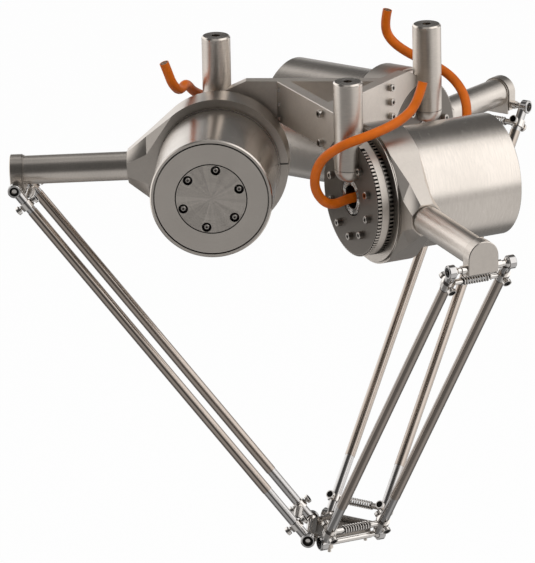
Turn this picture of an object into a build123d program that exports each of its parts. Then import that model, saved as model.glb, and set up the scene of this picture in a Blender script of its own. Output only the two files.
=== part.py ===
# Delta robot: three motor units on a pin-wheel plate frame, hung by three posts, each swinging an arm.
# Each arm carries a pair of ball-ended rods to one small travelling platform.
# Millimetres. Origin: middle of the three post tops. +Z up, arm A points along -X.
from build123d import *
import math
import os

# Clearances: faces that are bolted or pressed together, parts that turn past each other, open pivots.
joint_gap = 0.05
running_gap = 0.05
turning_gap = 0.5
ball_gap = 0.3
open_pivot_gap = 0.3
overcut = 1.0  # how far a cutter runs past the face it starts from
bite = 0.5  # how far two pieces of one solid reach into each other

# Layout of one unit, seen along its motor axis (x outwards, y towards the drum, z up).
unit_angles = {"a": 180.0, "b": -60.0, "c": 60.0}
next_unit = {"a": "b", "b": "c", "c": "a"}  # the unit whose plate carries this one's corner screws
third_turn = 120.0
post_top_height = 200.0
arm_droop = 2.5

# Arm, rods and platform.
arm_length = 340.0
elbow_drop = 19.0
rod_length = 780.0
rod_spacing = 100.0

# Arm tube and elbow cap.
tube_radius = 24.0
tube_wall = 4.0
cap_half_width = tube_radius + 3.0
cap_bottom = tube_radius + 4.0
cap_thickness = 20.0
cap_flange = 3.0
cap_flange_inset = 1.5
cap_flange_drop = 6.0
cap_edge = 1.2
cap_end = arm_length + 10.0
cap_plug_depth = 18.0
axle_radius = 7.0
axle_half_length = cap_half_width + 9.0
neck_radius = 5.0
ball_radius = 9.0
ball_flat = 2.0

# Drum and its round cover.
drum_radius = 101.0
drum_wall = 5.0
drum_face = 204.0
drum_end_wall = 10.0
bead_radius = drum_radius + 1.6
bead_width = 3.0
groove_radius = drum_radius - 5.6
groove_width = 2.4
groove_depth = 4.0
rim_chamfer = 2.0
cover_radius = 58.8
cover_thickness = 6.0
cover_gap = 0.15
cover_edge = 0.5
cover_opening = 41.0
cover_screw_circle = 49.2
cover_screw_count = 6
cover_screw_phase = 102.2
cover_head_radius = 4.5
cover_head_height = 4.0
cover_socket_radius = 2.3
cover_socket_depth = 2.6
cover_counterbore = 7.6
cover_counterbore_depth = 4.6
cover_shank_radius = 2.5
cover_shank_length = 6.0

# Clamp hub with its tapered nose.
hub_radius = drum_radius + 15.0
hub_half_width = tube_radius + 2.0
bead_start = hub_half_width + 4.0
hub_shoulder_radius = hub_radius - 4.0
hub_shoulder_length = 4.5
shoulder_line_width = 1.2
shoulder_line_depth = 2.0
drum_seat = -4.0
slit_width = 2.4
slit_start = drum_radius - 41.0
nose_start = hub_radius + 3.0
nose_end = nose_start + 34.0
nose_flats = 2 * tube_radius + 5.0
nose_side_half = hub_half_width
nose_top_half = 14.0
tube_socket_depth = 44.0
tube_relief = 1.0
tube_relief_depth = 2.0

# Mounting ring, bearing and the hollow motor inside the drum.
ring_width = 9.0
ring_notches = 84
notch_width = 4.4
notch_length = 7.5
notch_depth = 3.6
ring_bore = 50.0
bearing_radius = drum_radius - 13.0
bearing_start_gap = 2.0
bearing_end_gap = 1.0
spigot_radius = bearing_radius - 18.0
shaft_radius = 30.0
shaft_bore = 20.0
shaft_flange_radius = ring_bore - 1.0
shaft_flange_width = 8.0
shaft_recess = 2.0
shaft_end = drum_face - 36.0
magnet_radius = drum_radius - drum_wall - 0.1
magnet_thickness = 8.9
magnet_gap = 1.0
stator_radius = magnet_radius - magnet_thickness - magnet_gap
stator_start = 24.0
stator_end = drum_face - 58.0

# Pin-wheel frame. The plate's outer face follows from what stands between it and the drum.
plate_thickness = 20.0
plate_inside = hub_half_width + hub_shoulder_length + turning_gap + ring_width
plate_face = plate_inside + plate_thickness
plate_top = 128.0
plate_bottom = 58.0
plate_edge = 1.0
lobe_radius = drum_radius - 3.0
ring_radius = lobe_radius + 1.0
hub_clearance = 11.0  # between a hub and the outer face of the plate that crosses beside it
motor_radius = plate_face + hub_clearance + hub_radius
shoulder_x = motor_radius - 43.0
web_end = -150.0
root_fillet = 14.0
plate_bore = shaft_radius + 2.0

# Hanger posts.
post_x = motor_radius + 7.0
post_y = -(plate_face + 6.0)
post_radius = 24.0
post_foot_z = 30.0
dome_radius = post_radius - 3.0
seam_z = 52.0
seam_depth = 0.8
seam_width = 1.2
post_tap_radius = 7.0
post_tap_depth = 32.0
post_chamfer = 2.5

# Screws that are seen: socket heads.
m8_head_radius = 6.5
m8_head_height = 8.0
m8_socket_radius = 3.4
m8_socket_depth = 4.5
m8_shank_radius = 4.0
head_edge = 0.8
flange_screw_circle = 67.0
flange_screw_count = 10
flange_screw_length = 24.0
corner_screw_heights = {"a": (116.0, 91.0, 66.0), "b": (116.0, 66.0), "c": (116.0, 91.0, 66.0)}
corner_screw_length = 30.0

# Rods and their ends.
rod_radius = 8.7
fitting_radius = 8.1
upper_fitting = 46.0
lower_fitting = 110.0
upper_cup_wall = 2.0
lower_cup_wall = 3.2
cup_inner = rod_spacing / 2 - 1.5
cup_outer = rod_spacing / 2 + ball_radius + 1.5
cup_edge = 2.0
cup_recess_wall = 3.4
cup_recess_depth = 0.6
cup_hole_radius = 4.2

# Cross pins, their collars and the springs between them.
collar_distance = 32.0
collar_radius = 11.5
collar_length = 12.0
pin_radius = 3.0
pin_half_length = 15.0
pin_head_radius = 7.2
pin_head_width = 5.0
pin_recess_wall = 1.6
pin_recess_depth = 1.2
spring_half_length = 26.0
spring_radius = 7.4
peg_radius = 5.0
stud_radius = 3.4
stud_length = 6.0
spring_bore = stud_radius + joint_gap

# Platform and its axles, far enough out for the lower cups of neighbouring arms to pass each other.
platform_radius = rod_spacing / 2 + 2 * ball_radius - 20.0
platform_half_thickness = 7.0
platform_edge = platform_radius - 4.0
platform_corner = platform_radius + 6.0
platform_chamfer = 6.0
pocket_wall = 7.0
pocket_floor = 7.0
platform_axle_radius = 6.0
platform_axle_half = 31.0
lower_stud_base = 6.0
tool_boss_radius = 27.0
tool_boss_height = 7.0
tool_bore_radius = 11.0
tool_screw_circle = 40.0
tool_screw_count = 4
tool_tap_radius = 2.5
tool_tap_depth = 11.0
foot_circle = platform_corner - 7.5
foot_phase = 14.0
foot_radius = 6.5
foot_height = 10.0
foot_bolt_radius = 3.0
foot_bolt_head = 5.0
foot_bolt_head_height = 4.0
foot_bolt_end = 24.0

# Motor cables: hand-set routes from each motor axis, beginning at the blind end of the hollow shaft.
cable_radius = 8.0
cable_start = -14.0
cable_routes = {
    "a": [(0, cable_start, 0), (0, -58, 0), (1, -102, -8), (5, -133, 28), (21, -128, 72), (49, -92, 94),
          (58, -62, 120), (66, -22, 116), (76, 2, 136), (82, 8, 157), (88, 11, 175)],
    "b": [(0, cable_start, 0), (0, -58, 0), (1, -102, -11), (3, -131, 27), (13, -125, 74), (45, -100, 106),
          (63, -50, 122), (55, 6, 134), (45, 42, 156), (41, 54, 190)],
    "c": [(0, cable_start, 0), (0, -58, 0), (3, -102, -6), (19, -136, 26), (35, -126, 70), (51, -94, 95),
          (60, -54, 110), (53, 2, 127), (45, 32, 148), (40, 40, 174), (42, 34, 201)],
}


def disc(radius, start, end, x=motor_radius, z=0.0):
    """A round bar along the motor axis, from y=start to y=end."""
    bar = Cylinder(radius, end - start, align=(Align.CENTER, Align.CENTER, Align.MIN))
    return Pos(x, start, z) * Rot(-90, 0, 0) * bar


def on_circle(x, z, radius, count, phase=0.0, skip=()):
    """Places of a ring of holes about the axis at (x, z), leaving out the numbers in skip."""
    for i in range(count):
        if i not in skip:
            angle = math.radians(phase + 360.0 * i / count)
            yield x + radius * math.cos(angle), z + radius * math.sin(angle)


def post_blank(grow=0.0):
    """The post's outline with its domed foot; grown a little, it is the seat cut for it."""
    height = post_top_height - post_foot_z
    bar = Cylinder(post_radius + grow, height + grow, align=(Align.CENTER, Align.CENTER, Align.MIN))
    bar = fillet(bar.edges().sort_by(Axis.Z)[0], dome_radius)
    return Pos(post_x, post_y, post_foot_z - grow) * bar


def hanger_post():
    bar = post_blank()
    bar = chamfer(bar.edges().group_by(Axis.Z)[-1], post_chamfer)
    groove = Cylinder(post_radius + 1, seam_width) - Cylinder(post_radius - seam_depth, seam_width)
    tap = Cylinder(post_tap_radius, post_tap_depth, align=(Align.CENTER, Align.CENTER, Align.MAX))
    bar -= Pos(post_x, post_y, seam_z) * groove
    return bar - Pos(post_x, post_y, post_top_height) * tap


def frame_plate(unit):
    """A straight plate with a round lobe; its plain end is mitred against the next plate."""
    lobe_angle = math.atan2(plate_top, shoulder_x - motor_radius)
    reach = math.hypot(plate_top, shoulder_x - motor_radius)
    touch = lobe_angle - math.acos(lobe_radius / reach)
    tangent = (motor_radius + lobe_radius * math.cos(touch), lobe_radius * math.sin(touch))
    under = motor_radius - 0.95 * math.sqrt(lobe_radius ** 2 - plate_bottom ** 2)
    web = Polyline((web_end, plate_top), (shoulder_x, plate_top), tangent,
                   (motor_radius, 0), (motor_radius - lobe_radius / 2, 0), (under, plate_bottom),
                   (web_end, plate_bottom), close=True)
    outline = make_face(web) + Pos(motor_radius, 0) * Circle(lobe_radius)
    inner = [v for v in outline.vertices() if abs(v.Y - plate_bottom) < overcut and v.X > 0]
    outline = fillet(inner, root_fillet)
    plate = extrude(Plane((0, -plate_face, 0), x_dir=(1, 0, 0), z_dir=(0, -1, 0)) * outline,
                    -plate_thickness)
    plate = chamfer(plate.faces().sort_by(Axis.Y)[0].edges(), plate_edge)
    plate -= disc(plate_bore, -plate_face - overcut, 0)
    plate -= post_blank(joint_gap)
    # The next plate stands a third of a turn away and its inner face stops this one.
    stop = Box(-web_end, 2 * motor_radius, 4 * plate_top, align=(Align.MIN, Align.CENTER, Align.CENTER))
    plate -= Rot(0, 0, third_turn + 30) * Pos(plate_inside - joint_gap, 0, 0) * stop
    hole = m8_shank_radius + joint_gap
    for x, z in flange_screw_places():
        plate -= disc(hole, -plate_face - overcut, 0, x, z)
    for z in corner_screw_heights[unit]:
        plate -= disc(hole, -plate_face - overcut, 0, corner_screw_x(), z)
    for z in corner_screw_heights[previous_unit(unit)]:
        plate -= Rot(0, 0, -third_turn) * disc(hole, -plate_face - overcut, corner_screw_length - plate_face,
                                               corner_screw_x(), z)
    return plate


def previous_unit(unit):
    return [name for name, following in next_unit.items() if following == unit][0]


def flange_screw_places():
    """Screws about the motor axis; the one under the post is left out."""
    return on_circle(motor_radius, 0, flange_screw_circle, flange_screw_count, 90, skip=(0,))


def corner_screw_x():
    """Where the middle plane of the plate behind comes out of this plate."""
    middle = plate_face - plate_thickness / 2
    return middle / math.tan(math.radians(30))


def socket_screw(length, head=m8_head_radius, height=m8_head_height, shank=m8_shank_radius,
                 socket=m8_socket_radius, depth=m8_socket_depth):
    """Head on the side of -y, shank along +y from y=0."""
    screw = disc(head, -height, 0, 0, 0) + disc(shank, -bite, length, 0, 0)
    key = extrude(Plane((0, -height, 0), z_dir=(0, -1, 0)) * RegularPolygon(socket, 6), -depth)
    return chamfer(screw.edges().group_by(Axis.Y)[0], head_edge) - key


def flange_screws():
    screw = socket_screw(flange_screw_length)
    return [Pos(x, -plate_face, z) * screw for x, z in flange_screw_places()]


def corner_screws(unit):
    screw = socket_screw(corner_screw_length)
    return [Pos(corner_screw_x(), -plate_face, z) * screw for z in corner_screw_heights[unit]]


def mounting_ring():
    """Notched ring on the inner face of the plate, with the spigot that carries the bearing."""
    ring = disc(ring_radius, -plate_inside, -plate_inside + ring_width)
    ring += disc(spigot_radius, -plate_inside, drum_seat)
    ring -= disc(ring_bore, -plate_inside - overcut, 0)
    hole = m8_shank_radius + joint_gap
    for x, z in flange_screw_places():
        ring -= disc(hole, -plate_inside - overcut, flange_screw_length - plate_face, x, z)
    cutter = Box(2 * notch_depth, notch_length, notch_width)
    for i in range(ring_notches):
        turn = Rot(0, 360.0 * i / ring_notches, 0)
        ring -= Pos(motor_radius, ring_width / 2 - plate_inside, 0) * turn * Pos(ring_radius, 0, 0) * cutter
    return ring


def shoulder_start():
    return -(hub_half_width + hub_shoulder_length)


def main_bearing():
    start, end = shoulder_start() + bearing_start_gap, drum_seat - bearing_end_gap
    return disc(bearing_radius, start, end) - disc(spigot_radius + joint_gap, start - overcut, 0)


def motor_shaft():
    """Hollow shaft, open at the plate's face and blind inside, where the cable's end is held."""
    shaft = disc(shaft_radius, -plate_face + shaft_recess, shaft_end)
    shaft += disc(shaft_flange_radius, -plate_inside, -plate_inside + shaft_flange_width)
    shaft -= disc(shaft_bore, -plate_face, cable_start)
    return shaft - disc(shaft_bore, 0, shaft_end + overcut)


def motor_stator():
    return disc(stator_radius, stator_start, stator_end) - disc(shaft_radius + joint_gap, 0, shaft_end)


def motor_rotor():
    """Magnet ring on the inside of the drum."""
    bore = magnet_radius - magnet_thickness
    return disc(magnet_radius, stator_start, stator_end) - disc(bore, 0, shaft_end)


def clamp_hub():
    """Split ring that grips the drum, drawn out to the arm tube in a tapered, faceted nose."""
    slope_x, slope_z = nose_end, nose_flats / 2
    reach = math.hypot(slope_x, slope_z)
    touch = math.atan2(slope_z, slope_x) + math.acos(hub_radius / reach)
    touch_x, touch_z = hub_radius * math.cos(touch), hub_radius * math.sin(touch)
    start_z = slope_z + (nose_end - nose_start) * (touch_z - slope_z) / (slope_x - touch_x)
    side = make_face(Polyline((touch_x, touch_z), (nose_start, start_z), (nose_start, -start_z),
                              (touch_x, -touch_z), (0, 0), close=True)) + Circle(hub_radius)
    body = extrude(Plane((motor_radius, hub_half_width, 0), x_dir=(1, 0, 0), z_dir=(0, -1, 0)) * side,
                   2 * hub_half_width)
    for y_sign in (-1, 1):
        for z_sign in (-1, 1):
            body -= corner_cut([(touch_x, hub_half_width, touch_z), (nose_start, hub_half_width, start_z),
                                (nose_start, hub_half_width, nose_side_half),
                                (nose_start, nose_top_half, start_z)], y_sign, z_sign)
    body += nose(start_z)
    body += disc(hub_shoulder_radius, shoulder_start(), -hub_half_width) - shoulder_line()
    body -= disc(bearing_radius + running_gap, shoulder_start() - overcut, drum_seat)
    body -= disc(drum_radius + joint_gap, drum_seat, hub_half_width + overcut)
    below = (Align.CENTER, Align.CENTER, Align.MAX)
    socket = Cylinder(tube_radius + joint_gap, tube_socket_depth, align=below)
    socket += Cylinder(tube_radius + tube_relief, tube_relief_depth, align=below)
    body -= Pos(motor_radius + nose_end, 0, 0) * Rot(0, 90, 0) * socket
    slit = Box(hub_radius, hub_half_width + overcut - drum_seat, slit_width,
               align=(Align.MAX, Align.MIN, Align.CENTER))
    return body - Pos(motor_radius - slit_start, drum_seat, 0) * slit


def shoulder_line():
    """Thin groove round the hub's shoulder."""
    start = shoulder_start() + (hub_shoulder_length - shoulder_line_width) / 2
    line = disc(hub_radius, start, start + shoulder_line_width)
    return line - disc(hub_shoulder_radius - shoulder_line_depth, start - overcut, 0)


def corner_cut(points, y_sign, z_sign):
    """A small tetrahedron that takes one long corner off the hub."""
    grown = [(motor_radius + x, y * y_sign, z * z_sign) for x, y, z in points]
    faces = []
    for skip in range(4):
        corners = [grown[i] for i in range(4) if i != skip]
        faces.append(Face(Wire.make_polygon(corners, close=True)))
    return Solid(Shell(faces))


def octagon(x, side, top, side_half, top_half):
    """Eight-sided section across the arm at x; side and top are its half sizes along y and z."""
    points = [(side, side_half), (top_half, top), (-top_half, top), (-side, side_half),
              (-side, -side_half), (-top_half, -top), (top_half, -top), (side, -side_half)]
    plane = Plane((motor_radius + x, 0, 0), x_dir=(0, 1, 0), z_dir=(1, 0, 0))
    return plane * make_face(Polyline(*points, close=True))


def nose(start_z):
    """From the cut-off hub to a regular octagon round the arm tube."""
    flat = nose_flats / 2 * math.tan(math.radians(22.5))
    wide = octagon(nose_start, hub_half_width, start_z, nose_side_half, nose_top_half)
    narrow = octagon(nose_end, nose_flats / 2, nose_flats / 2, flat, flat)
    return loft([wide, narrow], ruled=True)


def drum():
    """Brushed drum: tube, bead at its root, and an end wall with a round groove and cover seat."""
    start = drum_seat + running_gap
    shell = disc(drum_radius, start, drum_face)
    shell -= disc(drum_radius - drum_wall, start - overcut, drum_face - drum_end_wall)
    shell += disc(bead_radius, bead_start, bead_start + bead_width) - disc(drum_radius - bite, 0, drum_face)
    rim = [e for e in shell.edges().group_by(Axis.Y)[-1] if e.radius > drum_radius - overcut]
    shell = chamfer(rim, rim_chamfer)
    groove = disc(groove_radius, drum_face - groove_depth, drum_face + overcut)
    shell -= groove - disc(groove_radius - groove_width, 0, drum_face + 2 * overcut)
    shell -= disc(cover_radius + cover_gap, drum_face - cover_thickness, drum_face + overcut)
    shell -= disc(cover_opening, drum_face - drum_end_wall - overcut, drum_face)
    tip = drum_face - cover_counterbore_depth - cover_shank_length
    for x, z in cover_screw_places():
        shell -= disc(cover_shank_radius, tip, drum_face, x, z)
    return shell


def cover_screw_places():
    return on_circle(motor_radius, 0, cover_screw_circle, cover_screw_count, cover_screw_phase)


def drum_cover():
    cover = disc(cover_radius, drum_face - cover_thickness + joint_gap, drum_face)
    cover = chamfer(cover.edges().group_by(Axis.Y)[-1], cover_edge)
    for x, z in cover_screw_places():
        cover -= disc(cover_counterbore, drum_face - cover_counterbore_depth, drum_face + overcut, x, z)
        cover -= disc(cover_shank_radius + joint_gap, drum_face - cover_thickness, drum_face + overcut, x, z)
    return cover


def cover_screws():
    screw = socket_screw(cover_shank_length, cover_head_radius, cover_head_height,
                         cover_shank_radius - joint_gap, cover_socket_radius, cover_socket_depth)
    seat = drum_face - cover_counterbore_depth + joint_gap
    return [Pos(x, seat, z) * Rot(180, 0, 0) * screw for x, z in cover_screw_places()]


def arm_tube():
    start = nose_end - tube_socket_depth + joint_gap
    end = cap_end - cap_thickness - cap_flange
    bar = Cylinder(tube_radius, end - start, align=(Align.CENTER, Align.CENTER, Align.MIN))
    bar -= Cylinder(tube_radius - tube_wall, end - start, align=(Align.CENTER, Align.CENTER, Align.MIN))
    return Pos(motor_radius + start, 0, 0) * Rot(0, 90, 0) * bar


def arch(width, bottom):
    """Round-topped, flat-bottomed outline across the arm."""
    return Circle(width) + Pos(0, -bottom / 2) * Rectangle(2 * width, bottom)


def elbow_cap():
    """Arched end block with the cross bore, a thin flange behind it and a plug in the tube."""
    def slab(face, start, end):
        plane = Plane((motor_radius + start, 0, 0), x_dir=(0, 1, 0), z_dir=(1, 0, 0))
        return extrude(plane * face, end - start)
    back = cap_end - cap_thickness
    cap = slab(arch(cap_half_width, cap_bottom), back, cap_end)
    cap = chamfer(cap.faces().sort_by(Axis.X)[-1].edges(), cap_edge)
    cap += slab(arch(cap_half_width - cap_flange_inset, cap_bottom + cap_flange_drop), back - cap_flange, back)
    cap += slab(Circle(tube_radius - tube_wall - joint_gap), back - cap_flange - cap_plug_depth, back)
    return cap - disc(axle_radius + joint_gap, -2 * cap_half_width, 2 * cap_half_width,
                      motor_radius + arm_length, -elbow_drop)


def ball_stud(start, shaft, base):
    """Ball at half the rod spacing on its neck, its far side cut flat, from a round base at y=start."""
    middle = rod_spacing / 2
    stud = Pos(0, middle, 0) * Rot(90, 0, 0) * Sphere(ball_radius)
    stud -= disc(ball_radius, middle + ball_radius - ball_flat, middle + ball_radius + overcut, 0, 0)
    stud += disc(neck_radius, start, middle, 0, 0)
    return stud + disc(shaft, start, base, 0, 0)


def elbow_axle():
    """Cross axle through the cap, with a ball at each end."""
    end = ball_stud(0, axle_radius, axle_half_length)
    axle = end + mirror(end, Plane.XZ)
    return Pos(motor_radius + arm_length, 0, -elbow_drop) * axle


def both_sides(piece):
    """One piece at +y and its mirror image at -y."""
    return [piece, mirror(piece, Plane.XZ)]


def rod_bars():
    """Plain middle of the two rods, hanging from the elbow axis."""
    length = rod_length - upper_fitting - lower_fitting
    bar = Cylinder(rod_radius, length, align=(Align.CENTER, Align.CENTER, Align.MAX))
    return both_sides(Pos(0, rod_spacing / 2, -upper_fitting) * bar)


def rod_end(length, wall):
    """Ball cup with the plain shank that carries it; its outer face has a shallow recess and a hole."""
    middle, ball = rod_spacing / 2, ball_radius + ball_gap
    shank = Cylinder(fitting_radius, length, align=(Align.CENTER, Align.CENTER, Align.MAX))
    cup = disc(ball + wall, cup_inner, cup_outer, 0, 0)
    cup = chamfer(cup.edges().group_by(Axis.Y)[-1], min(cup_edge, 0.6 * wall))
    cup -= disc(ball + wall - cup_recess_wall, cup_outer - cup_recess_depth, cup_outer + overcut, 0, 0)
    end = Pos(0, middle, 0) * shank + cup
    end -= Pos(0, middle, 0) * Rot(90, 0, 0) * Sphere(ball)
    end -= disc(ball, 0, middle, 0, 0)
    return end - disc(cup_hole_radius, middle, cup_outer + overcut, 0, 0)


def rod_ends():
    upper = rod_end(upper_fitting, upper_cup_wall)
    lower = Pos(0, 0, -rod_length) * Rot(0, 180, 0) * rod_end(lower_fitting, lower_cup_wall)
    return both_sides(upper) + both_sides(lower)


def lower_ball_studs():
    """Balls in the lower cups; each flat base faces the end of a platform axle."""
    start = platform_axle_half + open_pivot_gap
    stud = ball_stud(start, platform_axle_radius, start + lower_stud_base)
    return both_sides(Pos(0, 0, -rod_length) * stud)


def pin_head():
    """Round head of the cross pin with a recessed face, standing on x=0."""
    head = Cylinder(pin_head_radius, pin_head_width, align=(Align.CENTER, Align.CENTER, Align.MIN))
    recess = Cylinder(pin_head_radius - pin_recess_wall, pin_recess_depth,
                      align=(Align.CENTER, Align.CENTER, Align.MAX))
    return Rot(0, 90, 0) * (head - Pos(0, 0, pin_head_width) * recess)


def spring_pin():
    """Collar round the rod, cross pin through it, and the stepped peg that the spring sits on."""
    y = rod_spacing / 2
    bore = Cylinder(fitting_radius + joint_gap, 4 * collar_length)
    collar = Cylinder(collar_radius, collar_length) - bore
    pin = Rot(0, 90, 0) * Cylinder(pin_radius, 2 * pin_half_length)
    pin += Pos(pin_half_length, 0, 0) * pin_head()
    pin += Rot(0, 0, 180) * Pos(pin_half_length, 0, 0) * pin_head()
    root = (fitting_radius + collar_radius) / 2
    peg = disc(peg_radius, spring_half_length - y, -root, 0, 0)
    peg += disc(stud_radius, spring_half_length - stud_length - y, -root, 0, 0)
    return Pos(0, y, 0) * (collar + (pin - bore) + peg)


def spring_heights():
    """Places of the two spring axes along the rods."""
    return (-collar_distance, collar_distance - rod_length)


def spring_pins():
    pin = spring_pin()
    pins = []
    for z in spring_heights():
        pins += both_sides(Pos(0, 0, z) * pin)
    return pins


def springs():
    coil = disc(spring_radius, -spring_half_length, spring_half_length, 0, 0)
    coil -= disc(spring_bore, -rod_spacing, rod_spacing, 0, 0)
    return [Pos(0, 0, z) * coil for z in spring_heights()]


def platform_outline(edge, corner):
    """Triangle whose sides face the arms, with its corners cut off."""
    triangle = Polygon(*[(2 * edge * math.cos(math.radians(a)), 2 * edge * math.sin(math.radians(a)))
                         for a in (0, 120, 240)], align=None)
    cutter = Polygon(*[(2 * corner * math.cos(math.radians(a)), 2 * corner * math.sin(math.radians(a)))
                       for a in (60, 180, 300)], align=None)
    return triangle & cutter


def platform_plate():
    """Pocketed plate with a groove for each axle and a round tool boss below."""
    half = platform_half_thickness
    plate = extrude(Pos(0, 0, -half) * platform_outline(platform_edge, platform_corner), 2 * half)
    plate = chamfer(plate.edges().filter_by(Axis.Z), platform_chamfer)
    pocket = extrude(platform_outline(platform_edge - pocket_wall, platform_corner - pocket_wall), 2 * half)
    plate -= Pos(0, 0, pocket_floor - half) * pocket
    boss = Cylinder(tool_boss_radius, tool_boss_height, align=(Align.CENTER, Align.CENTER, Align.MAX))
    plate += Pos(0, 0, -half) * boss
    plate -= Cylinder(tool_bore_radius, 6 * half)
    tap = Cylinder(tool_tap_radius, tool_tap_depth, align=(Align.CENTER, Align.CENTER, Align.MIN))
    for x, y in on_circle(0, 0, tool_screw_circle / 2, tool_screw_count, 45):
        plate -= Pos(x, y, -half - tool_boss_height) * tap
    seat, reach = platform_axle_radius + joint_gap, 2 * platform_corner
    for angle in unit_angles.values():
        plate -= Rot(0, 0, angle) * disc(seat, -reach, reach, platform_radius, 0)
    for x, y in foot_places():
        plate -= Pos(x, y, 0) * Cylinder(foot_bolt_radius + joint_gap, 6 * half)
        plate -= Pos(x, y, pocket_floor - half) * foot_seat()
    return plate


def foot_places():
    return on_circle(0, 0, foot_circle, 3, foot_phase)


def foot_seat():
    """Round room for a foot bolt's head in the pocket's rim."""
    radius = foot_bolt_head + turning_gap
    return Cylinder(radius, 2 * platform_half_thickness, align=(Align.CENTER, Align.CENTER, Align.MIN))


def platform_axle():
    return disc(platform_axle_radius, -platform_axle_half, platform_axle_half, platform_radius, 0)


def platform_feet():
    """Three short feet, each with the bolt that holds it up against a corner of the plate."""
    half = platform_half_thickness
    floor = pocket_floor - half
    below = (Align.CENTER, Align.CENTER, Align.MAX)
    above = (Align.CENTER, Align.CENTER, Align.MIN)
    foot = Pos(0, 0, -half) * Cylinder(foot_radius, foot_height, align=below)
    foot += Pos(0, 0, floor) * Cylinder(foot_bolt_radius, foot_bolt_end + floor, align=below)
    foot += Pos(0, 0, floor) * Cylinder(foot_bolt_head, foot_bolt_head_height, align=above)
    return [Pos(x, y, 0) * foot for x, y in foot_places()]


def cable(points):
    """Round cable on straight runs joined by the largest arcs that the runs allow."""
    places = [Vector(*p) for p in points]
    radii = []
    for before, here, after in zip(places, places[1:], places[2:]):
        one, two = here - before, after - here
        turn = math.radians(one.get_angle(two))
        radii.append(0.45 * min(one.length, two.length) / math.tan(turn / 2))
    print("cable radii", [round(r) for r in radii])
    path = FilletPolyline(*places, radius=radii)
    section = Plane(path @ 0, z_dir=path % 0) * Circle(cable_radius)
    tube = sweep(section, path)
    length = path.length
    print("cable length", round(length), "volume share",
          round(tube.volume / (math.pi * cable_radius ** 2 * length), 4))
    return tube


def elbow_place():
    """Elbow axis in the unit's frame, with the arm at its resting droop."""
    droop = math.radians(arm_droop)
    x = motor_radius + arm_length * math.cos(droop) - elbow_drop * math.sin(droop)
    return x, -arm_length * math.sin(droop) - elbow_drop * math.cos(droop)


def rod_lean():
    """Angle of the rods from the vertical that closes the linkage, in degrees."""
    x, _ = elbow_place()
    return math.degrees(math.asin((x - platform_radius) / rod_length))


def platform_height():
    _, z = elbow_place()
    return z - rod_length * math.cos(math.radians(rod_lean()))


def build():
    """Every node by name, each a list of solids in the model frame."""
    nodes = {}
    level = Pos(0, 0, -post_top_height)
    swing = Pos(motor_radius, 0, 0) * Rot(0, arm_droop, 0) * Pos(-motor_radius, 0, 0)
    x, z = elbow_place()
    hang = Pos(x, 0, z) * Rot(0, rod_lean(), 0)
    shared = {"frame_screws": [], "flange_screws": [], "motor_shafts": [], "motor_stators": [],
              "main_bearings": [], "platform_axles": []}
    for unit, angle in unit_angles.items():
        place = level * Rot(0, 0, angle)
        still = {"frame_plate": [frame_plate(unit)], "hanger_post": [hanger_post()],
                 "mounting_ring": [mounting_ring()]}
        arm = {"clamp_hub": [clamp_hub()], "drum": [drum()], "drum_cover": [drum_cover()],
               "cover_screws": cover_screws(), "motor_rotor": [motor_rotor()], "arm_tube": [arm_tube()],
               "elbow_cap": [elbow_cap()], "elbow_axle": [elbow_axle()]}
        rods = {"rod_bars": rod_bars(), "rod_ends": rod_ends(), "ball_studs": lower_ball_studs(),
                "spring_pins": spring_pins(), "springs": springs()}
        for group, move in ((still, Pos(0, 0, 0)), (arm, swing), (rods, hang)):
            for name, solids in group.items():
                nodes[name + "_" + unit] = [place * move * s for s in solids]
        nodes["cable_" + unit] = [place * Pos(motor_radius, 0, 0) * cable(cable_routes[unit])]
        shared["frame_screws"] += [place * s for s in corner_screws(unit)]
        shared["flange_screws"] += [place * s for s in flange_screws()]
        shared["motor_shafts"].append(place * motor_shaft())
        shared["motor_stators"].append(place * motor_stator())
        shared["main_bearings"].append(place * main_bearing())
        low = place * Pos(0, 0, platform_height())
        shared["platform_axles"].append(low * platform_axle())
    nodes.update(shared)
    low = level * Pos(0, 0, platform_height())
    nodes["platform_plate"] = [low * platform_plate()]
    nodes["platform_feet"] = [low * f for f in platform_feet()]
    return nodes


def main():
    os.makedirs("parts", exist_ok=True)
    print("rods lean", round(rod_lean(), 4), "platform at", round(platform_height() - post_top_height, 3))
    for name, solids in build().items():
        children = [s for piece in solids for s in piece.solids()]
        export_step(Compound(children=children), "parts/" + name + ".step")


main()
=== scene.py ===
import bpy
import math
from mathutils import Matrix, Vector


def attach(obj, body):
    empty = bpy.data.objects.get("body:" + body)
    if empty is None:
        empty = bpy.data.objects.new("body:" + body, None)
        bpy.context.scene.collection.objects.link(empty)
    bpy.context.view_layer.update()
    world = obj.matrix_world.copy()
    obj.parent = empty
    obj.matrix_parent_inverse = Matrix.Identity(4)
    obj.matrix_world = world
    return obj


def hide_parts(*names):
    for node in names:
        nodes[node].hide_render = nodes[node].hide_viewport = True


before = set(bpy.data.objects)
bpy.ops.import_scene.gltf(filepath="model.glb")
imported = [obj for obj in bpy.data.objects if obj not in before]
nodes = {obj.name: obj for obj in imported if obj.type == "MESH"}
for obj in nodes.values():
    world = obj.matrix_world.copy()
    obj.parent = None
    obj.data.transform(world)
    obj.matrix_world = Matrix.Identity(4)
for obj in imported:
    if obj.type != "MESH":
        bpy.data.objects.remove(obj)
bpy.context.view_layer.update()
print("frame loaded,", len(nodes), "nodes")

# The robot's layout, as in the CAD frame, in metres.
layout = {
    "angles": {"a": 180.0, "b": -60.0, "c": 60.0},  # about Z, each arm's own direction
    "level": -0.200,  # motor axes below the post tops
    "motorRadius": 0.187,
    "droop": 2.5,
    "armLength": 0.340,
    "elbowDrop": 0.019,
    "rodLength": 0.780,
    "platformRadius": 0.048,
    "postPlace": (0.194, -0.066),
    "plateFace": -0.060,
    "lobeRadius": 0.098,
}


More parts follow.
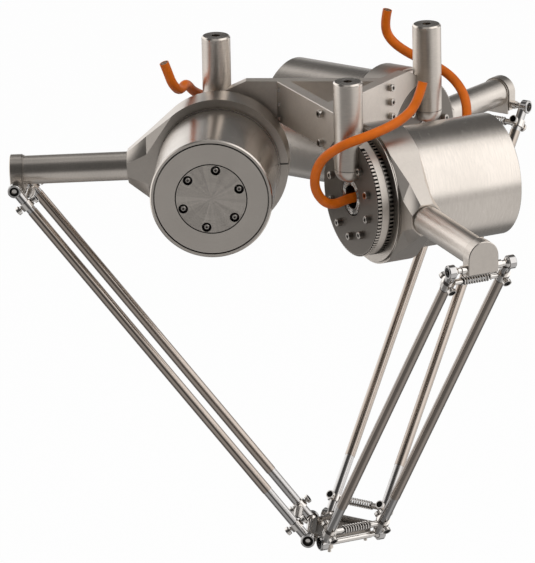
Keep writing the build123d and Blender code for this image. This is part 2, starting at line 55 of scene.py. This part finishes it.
def turnAbout(axis, degrees):
    return Matrix.Rotation(math.radians(degrees), 4, axis)


def shift(x, y, z):
    return Matrix.Translation((x, y, z))


def unitPlace(unit):  # x outwards, y towards the drum, z up, on the middle line at motor height
    return shift(0, 0, layout["level"]) @ turnAbout("Z", layout["angles"][unit])


def motorPlace(unit):  # origin on the motor axis
    return unitPlace(unit) @ shift(layout["motorRadius"], 0, 0)


def armPlace(unit):
    return motorPlace(unit) @ turnAbout("Y", layout["droop"])


def rodsPlace(unit):  # origin between the two upper balls, rods hang along -z
    droop = math.radians(layout["droop"])
    reach, drop = layout["armLength"], layout["elbowDrop"]
    out = layout["motorRadius"] + reach * math.cos(droop) - drop * math.sin(droop)
    down = -reach * math.sin(droop) - drop * math.cos(droop)
    lean = math.degrees(math.asin((out - layout["platformRadius"]) / layout["rodLength"]))
    return unitPlace(unit) @ shift(out, 0, down) @ turnAbout("Y", lean)


# Camera at the photograph's viewing angle.
shot = {
    "azimuth": 3.991, "elevation": 18.258, "roll": -1.158, "distance": 11.638,
    "across": -0.10717, "upwards": -0.19871, "focalPixels": 7000.0, "tall": 563.0, "film": 36.0,
}


def makeCamera():
    around, above, roll = (math.radians(shot[k]) for k in ("azimuth", "elevation", "roll"))
    back = Vector((math.sin(around) * math.cos(above), -math.cos(around) * math.cos(above), math.sin(above)))
    level = Vector((math.cos(around), math.sin(around), 0))
    upright = back.cross(level)
    right = math.cos(roll) * level + math.sin(roll) * upright
    top = -math.sin(roll) * level + math.cos(roll) * upright
    eye = back * shot["distance"] + right * shot["across"] + top * shot["upwards"]
    eye.z += layout["level"]
    camera = bpy.data.cameras.new("studioCamera")
    camera.sensor_width = shot["film"]
    camera.lens = shot["focalPixels"] / shot["tall"] * shot["film"]
    camera.clip_start, camera.clip_end = 0.1, 100
    holder = bpy.data.objects.new("studioCamera", camera)
    bpy.context.scene.collection.objects.link(holder)
    holder.matrix_world = Matrix((
        (right.x, top.x, back.x, eye.x), (right.y, top.y, back.y, eye.y),
        (right.z, top.z, back.z, eye.z), (0, 0, 0, 1)))
    bpy.context.scene.camera = holder


makeCamera()
print("camera set")


# Shader maths: a node's socket that can stand in a sum.
class Wire:
    def __init__(self, graph, socket):
        self.graph = graph
        self.socket = socket

    def step(self, operation, first, second=0.0):
        return self.graph.node("ShaderNodeMath", {"operation": operation}, {0: first, 1: second})

    def __add__(self, other):
        return self.step("ADD", self, other)

    def __radd__(self, other):
        return self.step("ADD", other, self)

    def __sub__(self, other):
        return self.step("SUBTRACT", self, other)

    def __rsub__(self, other):
        return self.step("SUBTRACT", other, self)

    def __mul__(self, other):
        return self.step("MULTIPLY", self, other)

    def __truediv__(self, other):
        return self.step("DIVIDE", self, other)

    def __gt__(self, other):
        return self.step("GREATER_THAN", self, other)

    def __lt__(self, other):
        return self.step("LESS_THAN", self, other)

    def apply(self, operation, other=0.0):  # any other Math operation
        return self.step(operation, self, other)


class Graph:  # one material's or the world's nodes
    def __init__(self, owner):
        owner.use_nodes = True
        self.tree = owner.node_tree
        self.tree.nodes.clear()

    def node(self, kind, settings, inputs, output=0):
        made = self.tree.nodes.new(kind)
        for name, value in settings.items():
            setattr(made, name, value)
        for name, value in inputs.items():
            if isinstance(value, Wire):
                self.tree.links.new(value.socket, made.inputs[name])
            else:
                made.inputs[name].default_value = value
        return Wire(self, made.outputs[output]) if len(made.outputs) else None

    def smooth(self, value, low, high, start=0.0, end=1.0):  # eased step from start to end
        return self.node("ShaderNodeMapRange", {"interpolation_type": "SMOOTHSTEP"},
                         {0: value, 1: low, 2: high, 3: start, 4: end})

    def mix(self, share, first, second):  # colours
        return self.node("ShaderNodeMix", {"data_type": "RGBA"}, {0: share, 6: first, 7: second}, 2)

    def parts(self, vector):
        split = self.node("ShaderNodeSeparateXYZ", {}, {0: vector})
        return [Wire(self, socket) for socket in split.socket.node.outputs]

    def join(self, x, y, z):
        return self.node("ShaderNodeCombineXYZ", {}, {0: x, 1: y, 2: z})

    def place(self, matrix=None):  # object coordinates, brought to a piece's own frame
        points = self.node("ShaderNodeTexCoord", {}, {}, 3)
        if matrix is None:
            return points
        inverse = matrix.inverted()
        return self.node("ShaderNodeMapping", {}, {
            "Vector": points, "Location": inverse.to_translation(), "Rotation": inverse.to_euler()})

    def noise(self, vector, scale, detail=2.0, rough=0.5):
        return self.node("ShaderNodeTexNoise", {}, {
            "Vector": vector, "Scale": scale, "Detail": detail, "Roughness": rough})

    def open(self, reach):  # 1 on open faces, falling towards 0 in sockets, gaps and notches
        return self.node("ShaderNodeAmbientOcclusion", {"samples": 4, "only_local": True},
                         {"Distance": reach}, "AO")

    def bump(self, height, strength, distance):
        return self.node("ShaderNodeBump", {}, {"Strength": strength, "Distance": distance, "Height": height})

    def surface(self, inputs):
        shader = self.node("ShaderNodeBsdfPrincipled", {}, inputs)
        self.node("ShaderNodeOutputMaterial", {}, {0: shader})


def newGraph(name):
    material = bpy.data.materials.new(name)
    return material, Graph(material)


def shade(colour, factor):
    return tuple(min(1.0, c * factor) for c in colour[:3]) + (1.0,)


# Metals. Lines are per metre, bump is the slope that the turning or grinding leaves, and the shade reach is
# how far the painted shade in sockets and gaps looks.
metals = {
    "drum": {"colour": (0.70, 0.64, 0.58), "rough": 0.25, "lines": 1900.0, "bump": 0.30, "shadeReach": 0.005,
             "around": 6.0, "endFace": 0.2035},
    "cover": {"colour": (0.70, 0.64, 0.58), "rough": 0.24, "lines": 1700.0, "bump": 1.5, "shadeReach": 0.004,
              "around": 0.0},
    "tube": {"colour": (0.70, 0.64, 0.58), "rough": 0.31, "lines": 1700.0, "bump": 0.14, "shadeReach": 0.004,
             "around": 4.0},
    "post": {"colour": (0.66, 0.60, 0.54), "rough": 0.34, "lines": 1500.0, "bump": 0.5, "shadeReach": 0.004,
             "around": 2.0, "polishedFrom": (0.1955, 0.1965), "polish": 0.25},
    "satin": {"colour": (0.70, 0.64, 0.58), "rough": 0.50, "shadeReach": 0.006},
    "platform": {"colour": (0.42, 0.39, 0.36), "rough": 0.34, "shadeReach": 0.010},
    "hub": {"colour": (0.62, 0.565, 0.51), "rough": 0.33, "shadeReach": 0.005},
    "cap": {"colour": (0.62, 0.565, 0.51), "rough": 0.30, "shadeReach": 0.005},
    "chrome": {"colour": (0.74, 0.70, 0.66), "rough": 0.10, "shadeReach": 0.004, "bump": 0.03},
    "bolt": {"colour": (0.50, 0.46, 0.42), "rough": 0.20, "shadeReach": 0.004},
    "rod": {"colour": (0.46, 0.395, 0.345), "rough": 0.11, "shadeReach": 0.003, "bump": 0.008},
    "fitting": {"colour": (0.55, 0.53, 0.515), "rough": 0.09, "shadeReach": 0.004, "bump": 0.008},
    "dark": {"colour": (0.20, 0.185, 0.165), "rough": 0.30, "shadeReach": 0.006},
    "core": {"colour": (0.08, 0.08, 0.085), "rough": 0.5, "shadeReach": 0.004},
}
paintedShadeColour = (0.012, 0.011, 0.010, 1)  # painted shade, near-black, put into gaps, sockets and recesses
grain = {"cloud": 12.0, "fine": 1100.0, "coarse": 130.0, "coarseLines": 300.0,
         "relief": 0.0002, "plainBump": 0.2}
lobeReflectionAndShade = {"colour": (0.19, 0.17, 0.15, 1), "radius": 0.0965, "edge": 0.0008,  # painted dark reflection on the lobe's face
            "skin": 0.0003, "band": 0.0076, "reach": 1.002}  # and painted shade on the band behind the rim's teeth
# the cover's edge gap and screw pockets get painted shade, and its rays a painted star reflection
coverMarks = {"radius": 0.0588, "line": 0.0009, "screwCircle": 0.0492, "screwPhase": 102.2,
              "screwStep": 60.0, "head": 0.0046, "pocket": 0.0080, "paintedStarRays": 2.6, "paintedStarDepth": 0.30}


def coverPaintedShade(g, x, y, radius):  # painted shade: 1 on the round gap at the cover's edge and in the pockets round its screw heads
    step = math.radians(coverMarks["screwStep"])
    turns = (y.apply("ARCTAN2", x) + math.radians(coverMarks["screwPhase"])) / step
    aside = ((turns - turns.apply("ROUND")) * step).apply("COSINE")
    circle = coverMarks["screwCircle"]
    fromScrew = (radius * radius + circle * circle - radius * aside * (2 * circle)).apply("SQRT")
    pocket = (fromScrew > coverMarks["head"]) * (fromScrew < coverMarks["pocket"])
    return pocket.apply("MAXIMUM", radius > coverMarks["radius"] - coverMarks["line"])


def paintLobeReflectionAndShade(g, colour, lobe):  # painted dark reflection on the lobe's face, and painted shade on its rim under the teeth
    x, y, z = g.parts(g.place(lobe))
    radius = (x * x + z * z).apply("SQRT")
    depth = y - layout["plateFace"]
    faceEdge = lobeReflectionAndShade["radius"]
    inFromEdge = g.smooth(radius, faceEdge - lobeReflectionAndShade["edge"], faceEdge, 1.0, 0.0)
    onFace = (depth < lobeReflectionAndShade["skin"]) * inFromEdge
    onRim = (radius > faceEdge) * (radius < layout["lobeRadius"] * lobeReflectionAndShade["reach"])
    colour = g.mix(onFace, colour, lobeReflectionAndShade["colour"])
    return g.mix((depth < lobeReflectionAndShade["band"]) * onRim, colour, paintedShadeColour)


levelWidth = 0.0001


def paintRecessShade(g, colour, place, levels):  # painted shade: faces that stand at these distances from the frame's planes are blackened as deep recesses
    for across, level in zip(g.parts(g.place(place)), levels):
        if level:
            onLevel = (across.apply("ABSOLUTE") - level).apply("ABSOLUTE") < levelWidth
            colour = g.mix(onLevel, colour, paintedShadeColour)
    return colour


# axis: lines run round its z, on the side and on the ends alike. The recess levels: a frame, and the
# distances from its x, y and z planes at which a face is blackened with painted shade.
def metal(name, kind, axis=None, lobe=None, shadedRecessLevels=None):
    look = metals[kind]
    material, g = newGraph(name)
    where = g.place()
    cloud = g.noise(where, grain["cloud"], 3.0)
    if axis is None:
        lines = g.noise(where, grain["fine"], 3.0, 0.6)
        coarse = g.noise(where, grain["coarse"], 4.0, 0.7)
    else:
        x, y, z = g.parts(g.place(axis))
        radius = (x * x + y * y).apply("SQRT")
        along = z + radius
        cosine = x / (radius + 0.0001)
        sine = y / (radius + 0.0001)
        around = look["around"]
        if "endFace" in look:
            around = (z < look["endFace"]) * around
        aside, upwards = cosine * around, sine * around
        lines = g.noise(g.join(along * look["lines"], aside, upwards), 1.0, 2.0, 0.6)
        coarse = g.noise(g.join(along * grain["coarseLines"], aside, upwards), 1.0, 3.0, 0.6)
    tone = lines * 0.4 + coarse * 0.25 + cloud * 0.35
    colour = g.mix(g.smooth(tone, 0.34, 0.66), shade(look["colour"], 0.90), shade(look["colour"], 1.06))
    rough = look["rough"] - 0.05 + lines * 0.06 + coarse * 0.05
    if kind == "post":  # its top edge is polished
        rough = rough * g.smooth(z, *look["polishedFrom"], 1.0, look["polish"])
    if kind == "cover":
        # painted reflection: darker rays in a star across the cover, as its turned face would reflect
        perTurn = coverMarks["paintedStarRays"]
        paintedStarRays = g.noise(g.join(cosine * perTurn, sine * perTurn, 0.0), 1.0, 3.0, 0.7)
        paintedStarRays = g.smooth(paintedStarRays, 0.35, 0.65) * coverMarks["paintedStarDepth"]
        colour = g.mix(paintedStarRays, colour, shade(look["colour"], 0.45))
        # painted shade in the cover's edge gap and screw pockets
        colour = g.mix(coverPaintedShade(g, x, y, radius), colour, paintedShadeColour)
    if kind == "drum":
        # painted shade in the gap round the cover's edge
        shadeUnderCover = (z > look["endFace"]) * (radius < coverMarks["radius"] + coverMarks["line"])
        colour = g.mix(shadeUnderCover, colour, paintedShadeColour)
    if lobe is not None:
        colour = paintLobeReflectionAndShade(g, colour, lobe)
    if shadedRecessLevels is not None:
        colour = paintRecessShade(g, colour, *shadedRecessLevels)
    # painted shade: the colour goes to near-black where ambient occlusion finds sockets, gaps and notches
    colour = g.mix(g.smooth(g.open(look["shadeReach"]), 0.25, 0.85, 0.9, 0.0), colour, paintedShadeColour)
    g.surface({"Base Color": colour, "Metallic": 1.0, "Roughness": rough,
               "Normal": g.bump(lines, 1.0, grain["relief"] * look.get("bump", grain["plainBump"]))})
    return material


def setMaterial(obj, material):
    obj.data.materials.clear()
    obj.data.materials.append(material)


def alongZ(matrix):  # a frame whose z runs along the given frame's y
    return matrix @ turnAbout("X", -90)


def alongX(matrix):  # a frame whose z runs along the given frame's x
    return matrix @ turnAbout("Y", 90)


hubMetal = metal("hubMetal", "hub")
capMetal = metal("capMetal", "cap")
satin = metal("satinPlate", "satin")
chrome = metal("polishedSteel", "chrome")
boltSteel = metal("boltSteel", "bolt")
rodSteel = metal("rodSteel", "rod")
platformMetal = metal("platformMetal", "platform")
darkSteel = metal("darkSteel", "dark")
coreIron = metal("coreIron", "core")
cupFace = 0.0599  # the recess in the outer face of each cup, from the middle between the two rods
pinFace = 0.0188  # the recess in each pin's head, from the plane of the rods

for unit in layout["angles"]:
    arm, motor = armPlace(unit), motorPlace(unit)
    postX, postY = layout["postPlace"]
    setMaterial(nodes["frame_plate_" + unit], metal("plate_" + unit, "satin", lobe=motor))
    setMaterial(nodes["hanger_post_" + unit],
                metal("post_" + unit, "post", unitPlace(unit) @ shift(postX, postY, 0)))
    setMaterial(nodes["mounting_ring_" + unit], darkSteel)
    setMaterial(nodes["clamp_hub_" + unit], hubMetal)
    setMaterial(nodes["drum_" + unit], metal("drum_" + unit, "drum", alongZ(arm)))
    setMaterial(nodes["drum_cover_" + unit], metal("cover_" + unit, "cover", alongZ(arm)))
    setMaterial(nodes["cover_screws_" + unit], boltSteel)
    setMaterial(nodes["motor_rotor_" + unit], coreIron)
    setMaterial(nodes["arm_tube_" + unit], metal("tube_" + unit, "tube", alongX(arm)))
    setMaterial(nodes["elbow_cap_" + unit], capMetal)
    setMaterial(nodes["elbow_axle_" + unit], chrome)
    setMaterial(nodes["rod_bars_" + unit], rodSteel)
    rods = rodsPlace(unit)
    # painted shade: the recess floors in the cups' outer faces and in the pins' heads are blackened
    cupMetal = metal("cups_" + unit, "fitting", shadedRecessLevels=(rods, (0, cupFace, 0)))
    setMaterial(nodes["rod_ends_" + unit], cupMetal)
    setMaterial(nodes["ball_studs_" + unit], chrome)
    pinMetal = metal("pins_" + unit, "chrome", shadedRecessLevels=(rods, (pinFace, 0, 0)))
    setMaterial(nodes["spring_pins_" + unit], pinMetal)
sharedNodes = {
    "frame_screws": boltSteel, "flange_screws": boltSteel, "motor_shafts": darkSteel,
    "motor_stators": coreIron, "main_bearings": darkSteel, "platform_plate": platformMetal,
    "platform_feet": satin, "platform_axles": chrome,
}
for name, material in sharedNodes.items():
    setMaterial(nodes[name], material)
print("materials set")

# Motor cables: free ends cut off, the other ends inside the hollow shafts.
cables = {
    "radius": 0.008,
    "colour": (0.56, 0.115, 0.004),
    "worn": (0.70, 0.24, 0.06, 1),
    "lengths": {"a": 0.377, "b": 0.417, "c": 0.415},
    "cores": {"circle": 0.0033, "radius": 0.0021, "within": 0.0064, "skin": 0.0003,
              "colour": (0.25, 0.13, 0.06, 1), "filler": (0.02, 0.02, 0.02, 1)},
    "routes": {  # millimetres from each motor axis
        "a": [(0, -14, 0), (0, -58, 0), (1, -102, -8), (5, -133, 28), (21, -128, 72), (49, -92, 94),
              (58, -62, 120), (66, -22, 116), (76, 2, 136), (82, 8, 157), (88, 11, 175)],
        "b": [(0, -14, 0), (0, -58, 0), (1, -102, -11), (3, -131, 27), (13, -125, 74), (45, -100, 106),
              (63, -50, 122), (55, 6, 134), (45, 42, 156), (41, 54, 190)],
        "c": [(0, -14, 0), (0, -58, 0), (3, -102, -6), (19, -136, 26), (35, -126, 70), (51, -94, 95),
              (60, -54, 110), (53, 2, 127), (45, 32, 148), (40, 40, 174), (42, 34, 201)],
    },
}


def sheathMaterial(unit, endPlace):  # endPlace: z runs out of the cut end
    material, g = newGraph("orangeSheath_" + unit)
    where = g.place()
    cloud = g.noise(where, 30.0, 3.0, 0.6)
    fine = g.noise(where, 1400.0, 2.0, 0.6)
    scuffs = g.smooth(g.noise(where, 210.0, 4.0, 0.75), 0.58, 0.72)
    colour = g.mix(g.smooth(cloud, 0.3, 0.7), shade(cables["colour"], 0.86), shade(cables["colour"], 1.08))
    colour = g.mix(scuffs * 0.15, colour, cables["worn"])
    x, y, z = g.parts(g.place(endPlace))
    radius = (x * x + y * y).apply("SQRT")
    cores = cables["cores"]
    aside = cores["circle"] * math.sqrt(0.5)
    fromCore = ((x.apply("ABSOLUTE") - aside).apply("POWER", 2.0)
                + (y.apply("ABSOLUTE") - aside).apply("POWER", 2.0)).apply("SQRT")
    inside = (z > -cores["skin"]) * (radius < cores["within"])
    colour = g.mix(inside, colour, cores["filler"])
    colour = g.mix(inside * (fromCore < cores["radius"]), colour, cores["colour"])
    g.surface({"Base Color": colour, "Roughness": 0.34 + fine * 0.12 + scuffs * 0.1,
               "Specular IOR Level": 0.25, "Normal": g.bump(fine, 0.10, 0.0003)})
    return material


for unit, route in cables["routes"].items():
    curve = bpy.data.curves.new("cableLine_" + unit, "CURVE")
    curve.dimensions = "3D"
    spline = curve.splines.new("NURBS")
    spline.points.add(len(route) - 1)
    points = [motorPlace(unit) @ (Vector(p) / 1000.0) for p in route]
    for point, place in zip(spline.points, points):
        point.co = (*place, 1.0)
    spline.order_u = 3
    spline.use_endpoint_u = True
    spline.resolution_u = 12
    curve.bevel_depth = cables["radius"]
    curve.bevel_resolution = 6
    curve.use_fill_caps = True
    outwards = (points[-1] - points[-2]).to_track_quat("Z", "Y").to_matrix().to_4x4()
    curve.materials.append(sheathMaterial(unit, Matrix.Translation(points[-1]) @ outwards))
    cable = bpy.data.objects.new("cableLine_" + unit, curve)
    bpy.context.scene.collection.objects.link(cable)
    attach(cable, "base")
    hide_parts("cable_" + unit)
print("cables laid")


# Modelling helpers.
def clearSelection():
    if bpy.context.object is not None and bpy.context.object.mode != "OBJECT":
        bpy.ops.object.mode_set(mode="OBJECT")
    bpy.ops.object.select_all(action="DESELECT")


def selectOnly(*objects):
    clearSelection()
    for obj in objects:
        obj.select_set(True)
    bpy.context.view_layer.objects.active = objects[0]


def applyAll(obj):
    selectOnly(obj)
    for modifier in list(obj.modifiers):
        bpy.ops.object.modifier_apply(modifier=modifier.name)


def putDown(obj, matrix, body, material):  # bakes the place into the mesh and lets the piece ride
    selectOnly(obj)
    obj.matrix_world = matrix @ obj.matrix_world
    bpy.context.view_layer.update()
    bpy.ops.object.transform_apply(location=True, rotation=True, scale=True)
    setMaterial(obj, material)
    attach(obj, body)


def copyOf(obj, name):
    twin = obj.copy()
    twin.data = obj.data.copy()
    twin.name = name
    bpy.context.scene.collection.objects.link(twin)
    return twin


def selectFaces(obj, wanted):  # in edit mode, by each face's middle and normal
    bpy.ops.object.mode_set(mode="OBJECT")
    for polygon in obj.data.polygons:
        polygon.select = wanted(polygon.center, polygon.normal)
    for edge in obj.data.edges:
        edge.select = False
    for vertex in obj.data.vertices:
        vertex.select = False
    for polygon in obj.data.polygons:
        if polygon.select:
            for corner in polygon.vertices:
                obj.data.vertices[corner].select = True
    bpy.ops.object.mode_set(mode="EDIT")


# Springs between the two rods, wound wire.
springs = {"wire": 0.00145, "radius": 0.0059, "halfLength": 0.0255, "turns": 11, "sides": 20,
           "fromBall": 0.032, "paintedShadeWithin": (0.0060, 0.0065)}


def springMaterial(name, place):  # painted shade: the wire's inner side, facing into the coil, is black
    material, g = newGraph(name)
    x, y, z = g.parts(g.place(place))
    inner = g.smooth((x * x + y * y).apply("SQRT"), *springs["paintedShadeWithin"], 1.0, 0.0)
    drawn = g.noise(g.join(x * 900.0, y * 900.0, z * 900.0), 1.0, 2.0)
    colour = g.mix(drawn * 0.3, (*metals["chrome"]["colour"], 1), shade(metals["chrome"]["colour"], 0.7))
    g.surface({"Base Color": g.mix(inner, colour, paintedShadeColour), "Metallic": 1.0, "Roughness": 0.10 + drawn * 0.06})
    return material


def woundSpring():
    clearSelection()
    bpy.ops.mesh.primitive_circle_add(vertices=8, radius=springs["wire"], location=(0, 0, 0))
    wire = bpy.context.object
    wire.name = "springWound"
    bpy.ops.object.mode_set(mode="EDIT")
    bpy.ops.mesh.select_all(action="SELECT")
    bpy.ops.transform.rotate(value=math.radians(90), orient_axis="X", center_override=(0, 0, 0))
    bpy.ops.transform.translate(value=(springs["radius"], 0, -springs["halfLength"]))
    bpy.ops.object.mode_set(mode="OBJECT")
    screw = wire.modifiers.new("winding", "SCREW")
    screw.axis = "Z"
    screw.angle = 2 * math.pi
    screw.screw_offset = 2 * springs["halfLength"] / springs["turns"]
    screw.iterations = springs["turns"]
    screw.steps = screw.render_steps = springs["sides"]
    screw.use_merge_vertices = False
    screw.use_smooth_shade = True
    applyAll(wire)
    bpy.ops.object.mode_set(mode="EDIT")
    bpy.ops.mesh.select_all(action="DESELECT")
    bpy.ops.mesh.select_non_manifold()
    bpy.ops.mesh.edge_face_add()
    bpy.ops.mesh.select_all(action="SELECT")
    bpy.ops.mesh.normals_make_consistent(inside=False)
    bpy.ops.object.mode_set(mode="OBJECT")
    return wire


master = woundSpring()
for unit in layout["angles"]:
    for end, drop in (("upper", springs["fromBall"]), ("lower", layout["rodLength"] - springs["fromBall"])):
        spring = copyOf(master, "spring_" + end + "_" + unit)
        place = rodsPlace(unit) @ shift(0, 0, -drop) @ turnAbout("X", -90)
        putDown(spring, place, "rods_" + unit, springMaterial("wire_" + end + "_" + unit, place))
    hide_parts("springs_" + unit)
bpy.data.objects.remove(master)
print("springs wound")

# Fine teeth round the open part of each lobe's rim, next to the plate's outer face.
teeth = {"perTurn": 96, "firstAngle": 161.0, "count": 71, "width": 0.0036, "length": 0.0064, "foot": 0.0006,
         "proud": 0.0011, "middle": -0.0562, "taper": 0.82}


def rimTeeth():
    clearSelection()
    bpy.ops.mesh.primitive_cube_add(size=1, location=(0, 0, 0))
    tooth = bpy.context.object
    tooth.name = "rimTooth"
    tall = teeth["foot"] + teeth["proud"]
    bpy.ops.object.mode_set(mode="EDIT")
    bpy.ops.transform.resize(value=(tall, teeth["length"], teeth["width"]))
    bpy.ops.transform.translate(value=(tall / 2 - teeth["foot"], 0, 0))
    selectFaces(tooth, lambda middle, normal: normal.x > 0.5)
    bpy.ops.transform.resize(value=(1, teeth["taper"], teeth["taper"]))
    bpy.ops.object.mode_set(mode="OBJECT")
    row = []
    for i in range(teeth["count"]):
        twin = copyOf(tooth, "rimTooth")
        angle = teeth["firstAngle"] + 360.0 * i / teeth["perTurn"]
        twin.matrix_world = turnAbout("Y", -angle) @ shift(layout["lobeRadius"], teeth["middle"], 0)
        row.append(twin)
    bpy.data.objects.remove(tooth)
    bpy.context.view_layer.update()
    selectOnly(*row)
    bpy.ops.object.join()
    ring = bpy.context.object
    bpy.ops.object.transform_apply(location=True, rotation=True, scale=True)
    return ring


master = rimTeeth()
for unit in layout["angles"]:
    putDown(copyOf(master, "rim_teeth_" + unit), motorPlace(unit), "base", satin)
bpy.data.objects.remove(master)
print("rim teeth cut")

# Ring of small pits round the cable, in the shaft's mouth.
pits = {"columns": 30, "radii": (0.0206, 0.0252, 0.0298), "face": -0.0594, "thickness": 0.0013,
        "land": 0.0007, "depth": 0.0011}


def pittedRing():
    clearSelection()
    inner, middle, outer = pits["radii"]
    bpy.ops.mesh.primitive_circle_add(vertices=pits["columns"], radius=inner, location=(0, 0, 0))
    ring = bpy.context.object
    ring.name = "pittedRing"
    bpy.ops.object.mode_set(mode="EDIT")
    for before, after in ((inner, middle), (middle, outer)):
        bpy.ops.mesh.extrude_edges_move()
        share = after / before
        bpy.ops.transform.resize(value=(share, share, 1))
    bpy.ops.mesh.select_all(action="SELECT")
    bpy.ops.mesh.extrude_region_move(TRANSFORM_OT_translate={"value": (0, 0, pits["thickness"])})
    bpy.ops.mesh.select_all(action="SELECT")
    bpy.ops.mesh.normals_make_consistent(inside=False)
    selectFaces(ring, lambda centre, normal: normal.z > 0.5)
    bpy.ops.mesh.inset(use_individual=True, thickness=pits["land"])
    bpy.ops.transform.translate(value=(0, 0, -pits["depth"]))
    bpy.ops.object.mode_set(mode="OBJECT")
    return ring


master = pittedRing()
for unit in layout["angles"]:
    place = motorPlace(unit) @ shift(0, pits["face"] + pits["thickness"], 0) @ turnAbout("X", 90)
    putDown(copyOf(master, "pitted_ring_" + unit), place, "base", chrome)
bpy.data.objects.remove(master)
print("pitted rings set")

# Studio. Each patch of what the metal reflects: direction, half width, lowest and highest angle, softness
# sideways and upwards, all in degrees, then its strength. Direction 0 is the camera's side, 90 the right.
studio = {
    "floorHeight": -1.28, "floorSize": 40.0, "floorColour": (0.80, 0.795, 0.785, 1),
    "floorWhite": 0.97, "surround": 0.5, "ambientTop": 0.60, "ambientLow": 0.25, "ambientSpan": (-0.3, 0.8),
    "patches": (
        (0, 55, -70, -25, 15, 9, 0.50),
        (75, 45, -75, -18, 14, 8, 0.72),
        (-100, 42, -95, -30, 12, 8, 0.20),
        (172, 34, -80, -13, 12, 8, 0.20),
        (-88, 22, -30, 42, 12, 10, 1.10),
        (84, 40, -7, 68, 9, 7, 1.50),
        (120, 28, -32, 6, 10, 8, 1.10),
        (-128, 27, -14, 42, 8, 8, 1.45),
        (-105, 42, 48, 78, 12, 5, 0.13),
        (-18, 47, -15, 66, 13, 7, 0.08),
        (-168, 12, 26, 72, 6, 6, 0.95),
        (172, 26, 11, 62, 8, 5, 0.12),
        (163, 6, -6, 9, 4, 4, 0.75),
        (-161, 9, -12, 14, 5, 5, 1.10),
    ),
    "lightsAimAt": (0, 0, -0.4),
    "lights": {"keyLight": ((1.6, -1.2, 2.4), 1.6, 55), "fillLight": ((-2.2, -1.4, 1.2), 1.4, 18)},
}


def makeFloor():
    clearSelection()
    bpy.ops.mesh.primitive_plane_add(size=studio["floorSize"], location=(0, 0, studio["floorHeight"]))
    floor = bpy.context.object
    floor.name = "studioFloor"
    material, g = newGraph("paleFloor")
    plain = g.node("ShaderNodeBsdfDiffuse", {}, {"Color": studio["floorColour"]})
    paths = g.node("ShaderNodeLightPath", {}, {}).socket.node.outputs
    camera, glossy = Wire(g, paths["Is Camera Ray"]), Wire(g, paths["Is Glossy Ray"])
    white = g.node("ShaderNodeEmission", {}, {"Color": (1, 1, 1, 1), "Strength": 1.0})
    both = g.node("ShaderNodeMixShader", {}, {0: camera * studio["floorWhite"], 1: plain, 2: white})
    clear = g.node("ShaderNodeBsdfTransparent", {}, {})
    both = g.node("ShaderNodeMixShader", {}, {0: glossy, 1: both, 2: clear})
    g.node("ShaderNodeOutputMaterial", {}, {0: both})
    setMaterial(floor, material)


def patchMask(g, x, y, height, patch):
    around, half, low, high, softAcross, softUp = [math.radians(v) for v in patch[:6]]
    ahead = x * math.sin(around) - y * math.cos(around)
    aside = x * math.cos(around) + y * math.sin(around)
    turned = aside.apply("ARCTAN2", ahead).apply("ABSOLUTE")
    return (g.smooth(turned, half - softAcross, half + softAcross, 1.0, 0.0)
            * g.smooth(height, low - softUp, low + softUp)
            * g.smooth(height, high - softUp, high + softUp, 1.0, 0.0))


def makeWorld():
    world = bpy.data.worlds.new("studioWorld")
    bpy.context.scene.world = world
    g = Graph(world)
    x, y, z = g.parts(g.node("ShaderNodeTexCoord", {}, {}, 0))
    height = z.apply("ARCSINE")
    reflected = studio["surround"]
    for patch in studio["patches"]:
        reflected = reflected + patchMask(g, x, y, height, patch) * (patch[6] - reflected)
    paths = g.node("ShaderNodeLightPath", {}, {}).socket.node.outputs
    camera, glossy = Wire(g, paths["Is Camera Ray"]), Wire(g, paths["Is Glossy Ray"])
    ambient = g.smooth(z, *studio["ambientSpan"], studio["ambientLow"], studio["ambientTop"])
    level = camera + glossy * reflected + (1.0 - camera) * (1.0 - glossy) * ambient
    shader = g.node("ShaderNodeBackground", {}, {"Color": (1, 1, 1, 1), "Strength": level})
    g.node("ShaderNodeOutputWorld", {}, {0: shader})


def softBox(name, place, size, power):
    lamp = bpy.data.lights.new(name, "AREA")
    lamp.shape = "RECTANGLE"
    lamp.size = lamp.size_y = size
    lamp.energy = power
    holder = bpy.data.objects.new(name, lamp)
    bpy.context.scene.collection.objects.link(holder)
    holder.location = place
    aim = Vector(studio["lightsAimAt"]) - Vector(place)
    holder.rotation_euler = aim.to_track_quat("-Z", "Y").to_euler()
    holder.visible_glossy = False


makeFloor()
makeWorld()
for name, (place, size, power) in studio["lights"].items():
    softBox(name, place, size, power)
bpy.context.scene.view_settings.view_transform = "Standard"
print("studio lit")
